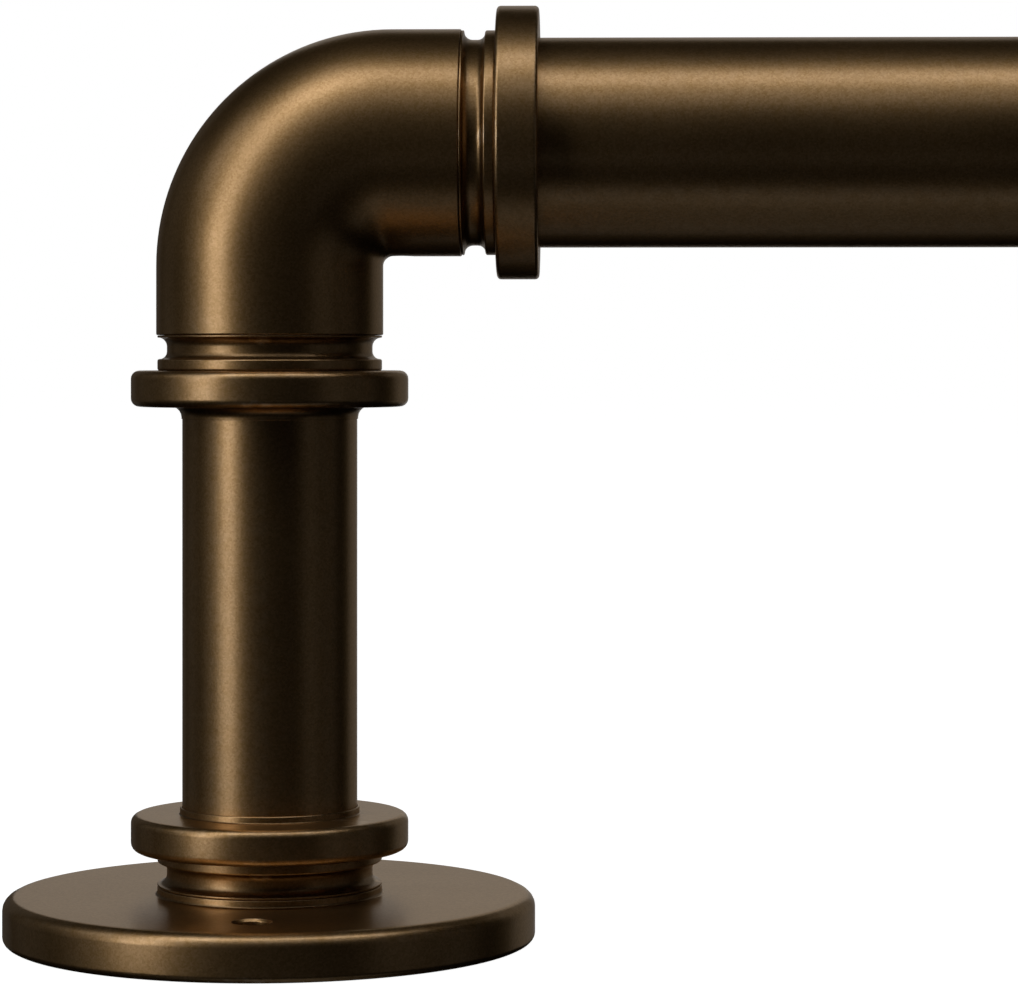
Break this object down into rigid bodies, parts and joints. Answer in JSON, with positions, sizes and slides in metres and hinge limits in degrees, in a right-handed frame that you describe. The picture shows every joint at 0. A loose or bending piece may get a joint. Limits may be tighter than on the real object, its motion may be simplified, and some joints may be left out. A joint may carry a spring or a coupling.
{
  "type": "curtain rod with brackets",
  "caption": "Telescoping curtain rod in dark bronze, carried at each end by a pipe-style bracket with a round wall plate, turned collars, a post and an elbow.",
  "frame": {"origin": "on the wall plane, midway between the two posts, at the centre of the object's footprint at rest", "axes": "+X along the rod from the left bracket to the right bracket, +Z out of the wall towards the rod, +Y across the rod. In use Z = 0 is the wall and the rod hangs in front of it"},
  "size_m": [0.8154, 0.0644, 0.113],
  "materials": {
    "dark_bronze": "satin dark bronze with a fine metallic speckle",
    "zinc_plated_steel": "bright zinc plating",
    "black_oxide": "black oxide",
    "black_nylon": "moulded"
  },
  "bodies": {
    "left_bracket": {"left_wall_plate": "dark_bronze", "left_base_collar": "dark_bronze", "left_clamp_screw": "zinc_plated_steel", "left_post_tube": "dark_bronze", "left_post_foot_plug": "zinc_plated_steel", "left_post_top_plug": "zinc_plated_steel", "left_post_collar": "dark_bronze", "left_elbow": "dark_bronze", "left_rod_collar": "dark_bronze", "left_rod_spigot": "zinc_plated_steel", "rod_outer_tube": "dark_bronze", "spigot_sleeve": "black_nylon"},
    "right_bracket": {"right_wall_plate": "dark_bronze", "right_base_collar": "dark_bronze", "right_clamp_screw": "zinc_plated_steel", "right_post_tube": "dark_bronze", "right_post_foot_plug": "zinc_plated_steel", "right_post_top_plug": "zinc_plated_steel", "right_post_collar": "dark_bronze", "right_elbow": "dark_bronze", "right_rod_collar": "dark_bronze", "right_rod_spigot": "zinc_plated_steel", "rod_inner_tube": "dark_bronze", "reducer_ring": "dark_bronze", "inner_tube_glide": "black_nylon"},
    "left_set_screw": {"left_set_screw": "black_oxide"},
    "right_set_screw": {"right_set_screw": "black_oxide"}
  },
  "joints": [
    {"name": "telescope", "type": "slide", "parent": "left_bracket", "child": "right_bracket", "axis": [1, 0, 0], "range_m": [-0.04, 0.468]},
    {"name": "left_set_screw_travel", "type": "slide", "parent": "left_bracket", "child": "left_set_screw", "axis": [0, 0, -1], "range_m": [0, 0.002]},
    {"name": "right_set_screw_travel", "type": "slide", "parent": "right_bracket", "child": "right_set_screw", "axis": [0, 0, -1], "range_m": [0, 0.002]}
  ]
}
